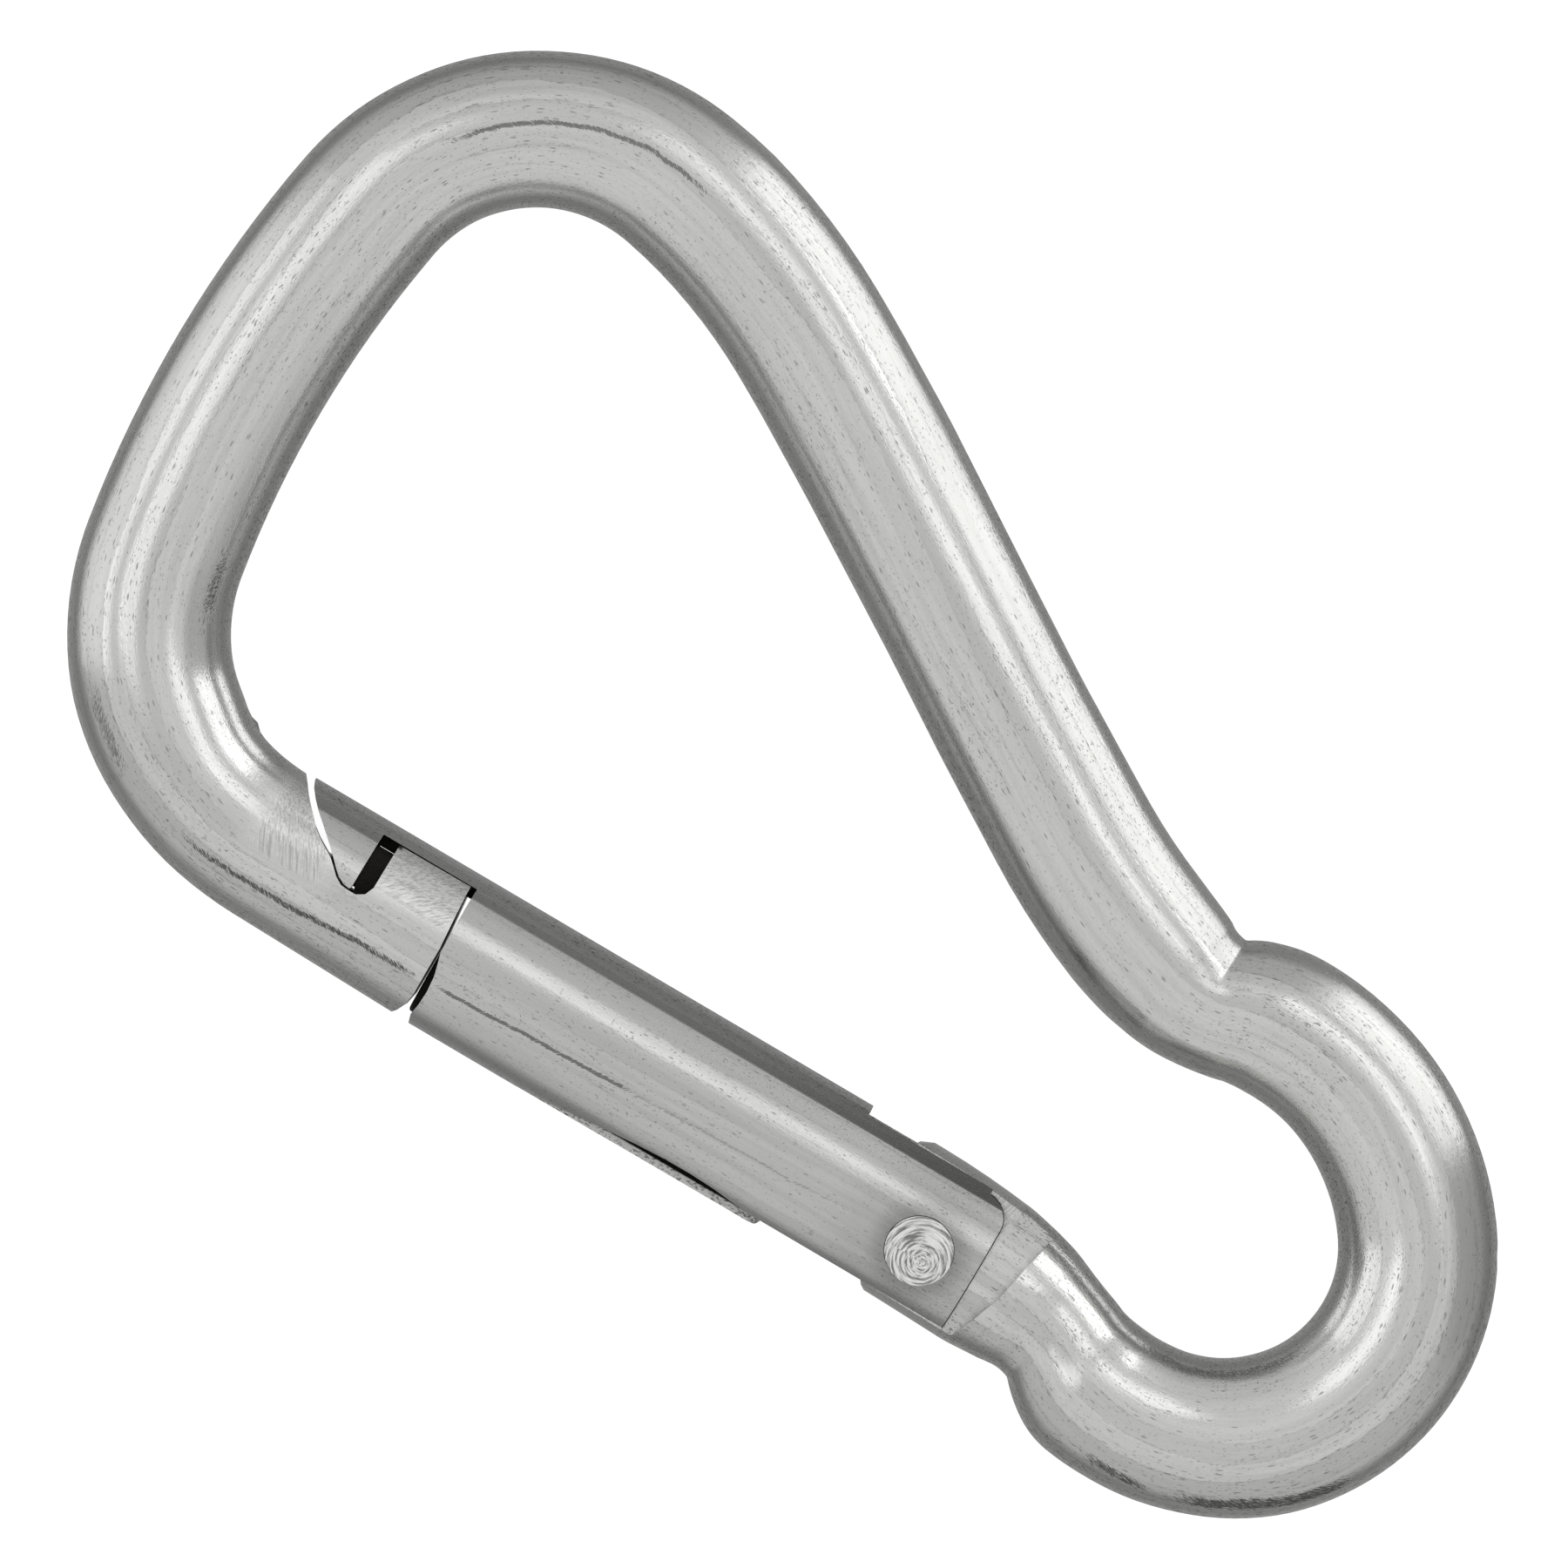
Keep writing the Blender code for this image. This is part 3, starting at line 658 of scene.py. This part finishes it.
gateLook = {
    "name": "brightZincOnPressedSheet", "bright": "#CDCDCC", "dull": "#C0C0BF", "cloudy": "#AEAEAD",
    "pitAndShadeColour": "#3A3937", "smooth": 0.2,
    "dieLength": 18.0, "dieWidth": 0.6, "dieHeight": 0.0012,
    "rippleLength": 3.6, "rippleWidth": 1.4, "rippleHeight": 0.009,
    "grainLength": 0.26, "grainWidth": 0.13, "grainHeight": 0.008,
    "bandWidth": 14.0, "bandSway": 18.0, "bandJag": 6.0,
    "bandTone": 0.5, "bandLine": 0.15, "bandHeight": 0.006,
    "grainTone": 0.2, "speckLength": 0.26, "speckWidth": 0.14, "speckTop": 0.0, "speckSideShade": 0.1,
    "inside": 4.6,                          # radius below which the sheet's face is an inner one and gets painted shade, nearly black
    "shadeBelts": ((45.5, 67.0, 0.36),),         # painted shade at the fold: dark stretches round the sheet, first and last angle, depth
    "endShade": ((2.08, 2.45, 1.5),),            # painted shade at the sheet's end: centre along and out, radius of its corner
    "rivetShade": ((2.1, 1.5, 0.35), (3.0, 4.0, 0.14)),           # painted shade round the rivet: radius, spread, depth
    "scratchLength": 3.0, "scratchWidth": 0.13, "scratchHeight": 0.01, "scratchColour": "#8E8E8C",
    "dressed": (), "slotShade": (),
    "pits": ((0.7, 0.2, 0.26, 0.4), (0.3, 0.15, 0.34, 0.35)), "pitHeight": 0.006,
    "strokeLength": 0.36, "strokeWidth": 0.1, "strokeSlant": -1.2,
    "marks": (
        ((-33.0, -20.0), (-25.0, -19.0), 2.4, 1.0, 4.0, 0.3, 0.7),
        ((-22.0, -5.0), (-20.0, -13.0), 1.6, 3.0, 4.0, 0.2, 0.35),
    ),
}

gate = {
    "radius": 5.0, "inner": 3.8, "sides": 72, "line": 1.05, "front": -34.05, "webFoot": 5.22, "end": 3.68,
    "toothRight": -40.5, "foldAt": 44.6, "foldLean": 56.0, "webEnd": -6.7, "lipEnd": -9.0,
    "lensStart": -27.0, "forkHalf": 2.28, "seamHalf": 0.12, "headHole": 2.13, "edge": 0.07,
    "seatBack": -32.25, "seatFront": -34.0, "seatRadius": 4.3,
    "cornerRadius": 1.6, "cheekTop": 3.5,
}


def makeGate(material):
    shell = rodAlong("gateShell", gate["radius"], -46.2, 4.2, gate["line"], gate["sides"])
    crease, lean = math.radians(gate["foldAt"]), math.radians(gate["foldLean"])
    for way in (-1, 1):     # the fold that turns the round side into the flatter web
        v, z = gate["line"] + gate["radius"] * math.sin(crease), gate["radius"] * math.cos(crease)
        a, b = far * math.cos(lean), far * math.sin(lean)
        flat = [(v - a, way * (z + b)), (v + a, way * (z - b)), (v + a + b, way * (z - b + a)),
                (v - a + b, way * (z + b + a))]
        cut(shell, drawSolid("fold", flat, -48.0, 6.0, "YZ"))
    tip, foot = hook["toothTip"], hook["toothFoot"]
    right, front, end = gate["toothRight"], gate["front"], gate["end"]
    rounding, cheekTop = gate["cornerRadius"], gate["cheekTop"]
    corner = [(end - rounding + rounding * math.cos(math.radians(a)),
               cheekTop + rounding * math.sin(math.radians(a))) for a in range(0, 91, 10)]
    side = [(tip[0] - 0.2, far), (-45.95, 5.95), (-45.7, 5.5), (-45.27, 5.0), (-44.75, 4.5), (-44.15, 4.0),
            (-43.57, 3.5), (-43.0, 3.0), (-42.45, 2.5), (-42.0, 2.05), (-41.6, 1.7), (-41.1, foot + 0.05),
            (-40.7, foot),
            (right, foot + 0.3), (right - 0.05, 3.0), (right - 0.1, 3.9), (front, 3.9),
            (front, 2.2), (front + 0.05, 0.9), (front + 0.25, 0.2), (front + 0.45, -0.6),
            (front + 0.53, -1.6), (front + 0.47, -2.6), (front + 0.33, -3.3), (front + 0.45, -3.9),
            (front + 0.65, -4.4), (front + 0.65, -far),
            (end, -far), *corner, (end - rounding, far)]
    cut(shell, drawSolid("gateSide", side, -far, far), "INTERSECT")
    cut(shell, rodAlong("bore", gate["inner"], -47.0, 5.0, gate["line"], 56))

    line, foot = gate["line"], gate["webFoot"]
    window = [(line, 0.0), (4.45, 1.6), (foot, 1.75), (foot, far), (-far, far), (-far, -far),
              (foot, -far), (foot, -1.75), (4.45, -1.6)]
    cut(shell, drawSolid("window", window, right - 0.12, front - 0.02, "YZ"))

    fork = gate["forkHalf"]
    forkTop = [(gate["webEnd"], -fork), (6.0, -fork), (6.0, fork), (gate["webEnd"], fork)]
    cut(shell, drawSolid("forkTop", forkTop, line, far, "XZ"))
    seam, lip = gate["seamHalf"], gate["lipEnd"]
    lips = [(-38.0, -seam), (gate["lensStart"], -seam), (-24.5, -0.22), (-22.0, -0.36), (-18.0, -0.55),
            (-14.0, -0.6), (-11.5, -0.66), (lip - 0.8, -0.6), (lip - 0.35, -0.9), (lip - 0.2, -1.3),
            (lip, -fork), (6.0, -fork), (6.0, fork), (lip - 1.0, fork), (-12.5, 2.7), (-14.2, 2.82),
            (-16.0, 2.8), (-18.0, 2.62), (-20.0, 2.3), (-22.0, 1.85), (-24.0, 1.2), (-25.6, 0.62),
            (gate["lensStart"], seam), (-38.0, seam)]
    cut(shell, drawSolid("lips", lips, -far, -1.9, "XZ"))
    forkLow = [(-6.0, -fork), (6.0, -fork), (6.0, fork), (-6.0, fork)]
    cut(shell, drawSolid("forkLow", forkLow, -2.0, line + 0.1, "XZ"))
    cut(shell, postUp("headHole", gate["headHole"], -far, far, 64))
    softenEdges(shell, gate["edge"], 8.0)
    seat = rodAlong("springSeat", gate["seatRadius"], gate["seatFront"], gate["seatBack"], gate["line"], 56)
    softenEdges(seat, 0.15, 40.0)
    joinInto(shell, seat)
    keepSpots(shell, meshSpots(shell) - np.array([0.0, line, 0.0]))
    finishPiece(shell, material, "gate", "gate", 9.0)


# Hinge rivet: a turned pin whose ends are faced flat, with the tool's rings left on them

rivet = {"head": 2.1, "shank": 1.75, "half": 5.55, "under": 3.6, "ringPitch": 0.36, "ringDepth": 0.018,
         "ringCentre": (0.4, -0.5)}


def makeRivet(material):
    body = postUp("hingeRivet", rivet["head"], -rivet["half"], rivet["half"], 72)
    waist = turnedAbout("waist", [(rivet["shank"], -rivet["under"]), (3.0, -rivet["under"]),
                                  (3.0, rivet["under"]), (rivet["shank"], rivet["under"]),
                                  (rivet["shank"], -rivet["under"])], 64)
    cut(body, waist)
    for end in (-1, 1):
        profile = [(0.0, rivet["half"] + 1.0), (0.0, rivet["half"] - 0.05)]
        for k in range(11):
            radius = rivet["ringPitch"] * (k + 1) + 0.07 * math.sin(2.3 * k)
            crest = rivet["half"] - 0.02 - 0.006 * k
            profile.append((radius - rivet["ringPitch"] * 0.4, crest))
            depth = rivet["ringDepth"] * (0.6 + 0.4 * math.cos(k))
            profile.append((radius, crest - depth))
        profile += [(4.5, profile[-1][1]), (4.5, rivet["half"] + 1.0)]
        profile = [(radius, height * end) for radius, height in profile]
        cut(body, turnedAbout("facing", profile, 64, rivet["ringCentre"]))
    softenEdges(body, 0.06, 50.0)
    keepSpots(body, meshSpots(body))
    finishPiece(body, material, "gate", "hinge_rivet", 50.0)


def turnedSteel():
    # plain steel rod, faced in a lathe: brighter than the zinc round it, with fine rings
    material, add, shader, link = newMaterial("facedSteelRod")
    spot = add("Attribute", attribute_name="unbent").outputs["Vector"]
    x0, y0 = rivet["ringCentre"]
    centred = add("Mapping", {"Vector": spot, "Location": (-x0, -y0, 0.0)})
    x, y, _ = add("SeparateXYZ", {0: centred}).outputs
    away = add("VectorMath", {0: add("CombineXYZ", {0: x, 1: y})}, operation="LENGTH")
    around = add("Math", {0: y, 1: x}, operation="ARCTAN2")
    polar = add("CombineXYZ", {0: add("Math", {0: away, 1: 7.0}, **times), 1: around})
    rings = add("TexNoise", {"Vector": polar, "Scale": 1.0, "Detail": 4.0, "Roughness": 0.65})
    grain = streaks(add, spot, 0.5, 0.16, 3.0)
    share = add("MapRange", {0: rings, 1: 0.38, 2: 0.58}, **soft)
    tone = add("Mix", {0: share, 6: linear("#7E7E7C"), 7: linear("#E8E8E6")}, **colour).outputs[2]
    link(tone, shader.inputs["Base Color"])
    shader.inputs["Metallic"].default_value = 1.0
    rough = add("MapRange", {0: grain, 1: 0.3, 2: 0.7, 3: 0.24, 4: 0.36})
    link(rough.outputs[0], shader.inputs["Roughness"])
    height = add("Math", {0: rings, 1: 0.06, 2: add("Math", {0: grain, 1: 0.01}, **times)}, **timesPlus)
    bump = add("Bump", {"Height": height, "Distance": mm, "Strength": 1.0})
    link(bump.outputs[0], shader.inputs["Normal"])
    return material


# Thrust pin and closing spring: both inside the gate, seen through its slot

thrust = {"face": -3.75, "head": 3.4, "headLength": 3.0, "stem": 1.7, "length": 12.0}
spring = {"wire": 0.4, "coil": 2.8, "from": -31.5, "to": -7.5, "endPitch": 0.95, "turns": 8, "perTurn": 28,
          "slidePerRadian": 3.9, "fullSwing": 35.0}


def makeThrustPin(material):
    head, back = thrust["head"], -thrust["headLength"]
    profile = [(0.0, 0.0), (head - 0.35, 0.0), (head - 0.1, -0.1), (head, -0.35), (head, back + 0.15),
               (head - 0.15, back), (thrust["stem"] + 0.25, back), (thrust["stem"], back - 0.25),
               (thrust["stem"], 0.5 - thrust["length"]), (thrust["stem"] - 0.15, 0.15 - thrust["length"]),
               (thrust["stem"] - 0.5, -thrust["length"]), (0.0, -thrust["length"])]
    pin = turnedAbout("thrustPin", profile, 48)
    pick(pin, lambda spot: True)
    bpy.ops.object.mode_set(mode="OBJECT")
    pin.rotation_euler = (0.0, math.pi / 2, 0.0)
    pin.location = (thrust["face"] * mm, gate["line"] * mm, 0.0)
    bpy.ops.object.transform_apply(location=True, rotation=True, scale=True)
    keepSpots(pin, meshSpots(pin) - np.array([0.0, gate["line"], 0.0]))
    finishPiece(pin, material, "plunger", "thrust_pin")


def makeSpring(material):
    # one ring of wire, carried round and along: a close turn at each end and an even pitch between
    clearChoice()
    line, coil, perTurn = gate["line"], spring["coil"], spring["perTurn"]
    start = Vector((spring["from"], line + coil, 0.0)) * mm
    bpy.ops.mesh.primitive_circle_add(vertices=12, radius=spring["wire"] * mm, fill_type="NGON",
                                      location=start, rotation=(0.0, 0.0, 0.0))
    bpy.ops.object.transform_apply(location=True, rotation=True, scale=True)
    editAll()
    pitch = (spring["to"] - spring["from"] - 2 * spring["endPitch"]) / spring["turns"]
    centre = Vector((spring["from"], line, 0.0)) * mm
    for turn in range(spring["turns"] + 2):
        ends = turn in (0, spring["turns"] + 1)
        step = (spring["endPitch"] if ends else pitch) / perTurn * mm
        for k in range(perTurn):
            bpy.ops.mesh.spin(steps=1, angle=math.tau / perTurn, center=centre, axis=(1.0, 0.0, 0.0))
            bpy.ops.transform.translate(value=(step, 0.0, 0.0))
    bpy.ops.mesh.select_all(action="SELECT")
    bpy.ops.mesh.normals_make_consistent(inside=False)
    wound = leaveEdit("closingSpring")
    keepSpots(wound, meshSpots(wound) - np.array([0.0, line, 0.0]))
    finishPiece(wound, material, "gate", "gate_spring", 60.0)
    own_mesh(wound)


def springWire():
    # hard-drawn spring wire: darker and smoother than the plate, drawn lengthways
    material, add, shader, link = newMaterial("drawnSpringWire")
    spot = add("Attribute", attribute_name="unbent").outputs["Vector"]
    grain = streaks(add, spot, 0.8, 0.2, 3.0)
    tone = add("Mix", {0: grain, 6: linear("#6E6E70"), 7: linear("#98989A")}, **colour).outputs[2]
    link(tone, shader.inputs["Base Color"])
    shader.inputs["Metallic"].default_value = 1.0
    rough = add("MapRange", {0: grain, 1: 0.3, 2: 0.7, 3: 0.22, 4: 0.38})
    link(rough.outputs[0], shader.inputs["Roughness"])
    return material


hookFinish = zincPlate(hookLook)
gateFinish = zincPlate(gateLook)
steelFinish = turnedSteel()
makeHook(hookFinish)
makeGate(gateFinish)
makeRivet(steelFinish)
makeThrustPin(steelFinish)
makeSpring(springWire())
print("pieces made")


# Stage, light and camera. Directions are given as the camera sees them: 0 is right, 90 is up.

studio = {
    "centre": (4.77, 3.49, 5.55), "wide": 95.24, "distance": 700.0, "turn": -38.02, "sensor": 36.0,
    "floor": "#FFFFFF", "floorGlow": 0.9,
    "overhead": 0.80, "wall": 0.76, "level": 0.72, "under": 0.28, "below": 0.36,
    "shade": ((0.0, 0.24), (92.0, 0.10)),       # walls that are darker: direction and how much
    "softboxes": (   # name, direction, elevation, distance, width, height in m, and brightness
        ("keySoftbox", 33.0, 1.0, 0.8, 0.5, 0.92, 1.1),
        ("keyBank", 40.0, 58.0, 0.8, 0.5, 0.28, 0.60),
        ("leftSoftbox", 162.0, 5.0, 0.8, 0.66, 0.88, 0.50),
        ("leftBank", 150.0, 60.0, 0.8, 0.5, 0.30, 0.66),
    ),
}


def lookAlong(direction, elevation):
    turn = math.radians(direction + studio["turn"])
    rise = math.radians(elevation)
    return Vector((math.cos(turn) * math.cos(rise), math.sin(turn) * math.cos(rise), math.sin(rise)))


def addSoftbox(name, direction, elevation, distance, width, height, brightness):
    lamp = bpy.data.lights.new(name, "AREA")
    lamp.shape = "RECTANGLE"
    lamp.size, lamp.size_y = width, height
    lamp.energy = brightness * math.pi * width * height
    holder = bpy.data.objects.new(name, lamp)
    bpy.context.scene.collection.objects.link(holder)
    away = lookAlong(direction, elevation)
    holder.location = Vector(studio["centre"]) * mm + away * distance
    holder.rotation_euler = away.to_track_quat("Z", "Y").to_euler()
    holder.visible_camera = False


def makeFloor():
    clearChoice()
    bpy.ops.mesh.primitive_plane_add(size=6.0)
    floor = bpy.context.object
    floor.name = floor.data.name = "studioFloor"
    material, add, shader, link = newMaterial("paleStudioPaper")
    output = material.node_tree.nodes["Material Output"]
    glow = add("Emission", {"Color": linear(studio["floor"]), "Strength": studio["floorGlow"]})
    shader.inputs["Base Color"].default_value = linear("#8C8C8C")
    shader.inputs["Roughness"].default_value = 0.9
    link(add("AddShader", {0: glow, 1: shader}).outputs[0], output.inputs["Surface"])
    floor.data.materials.append(material)
    floor.visible_glossy = False        # the object is lit as if held clear of the paper
    floor.visible_shadow = False


def makeWorld():
    world = bpy.data.worlds.new("studioRoom")
    world.use_nodes = True
    add, back = partial(addNode, world.node_tree), world.node_tree.nodes["Background"]
    seen = add("LightPath").outputs["Is Camera Ray"]
    toward = add("TexCoord").outputs["Generated"]
    height = add("SeparateXYZ", {0: toward}).outputs[2]
    room = add("MapRange", {0: height, 1: -0.02, 2: 0.22, 3: studio["level"], 4: studio["wall"]}, **soft)
    ceiling = add("MapRange", {0: height, 1: 0.45, 2: 0.8, 4: studio["overhead"] - studio["wall"]}, **soft)
    room = add("Math", {0: room, 1: ceiling}, **plus)
    for direction, loss in studio["shade"]:
        facing = add("VectorMath", {0: toward, 1: lookAlong(direction, 8.0)}, operation="DOT_PRODUCT")
        loss = add("MapRange", {0: facing, 1: 0.78, 2: 0.95, 4: loss}, **soft)
        room = add("Math", {0: room, 1: loss}, **minus)
    low = add("MapRange", {0: height, 1: -0.5, 2: -0.08, 3: studio["under"] / studio["level"]}, **soft)
    floor = add("MapRange", {0: height, 1: -0.7, 2: -0.9, 4: studio["below"] - studio["under"]}, **soft)
    room = add("Math", {0: room, 1: low, 2: floor}, **timesPlus)
    tone = add("Mix", {0: seen, 6: room, 7: linear("#FFFFFF")}, **colour).outputs[2]
    world.node_tree.links.new(tone, back.inputs["Color"])
    back.inputs["Strength"].default_value = 1.0
    bpy.context.scene.world = world


def makeCamera():
    lens = bpy.data.cameras.new("studioCamera")
    lens.sensor_width = studio["sensor"]
    lens.lens = studio["sensor"] * studio["distance"] / studio["wide"]
    lens.clip_start = 0.01
    holder = bpy.data.objects.new("studioCamera", lens)
    bpy.context.scene.collection.objects.link(holder)
    holder.location = (Vector(studio["centre"]) + Vector((0.0, 0.0, studio["distance"]))) * mm
    holder.rotation_euler = (0.0, 0.0, math.radians(studio["turn"]))
    bpy.context.scene.camera = holder


makeFloor()
makeWorld()
makeCamera()
for softbox in studio["softboxes"]:
    addSoftbox(*softbox)
bpy.context.scene.view_settings.view_transform = "Standard"
print("studio ready")
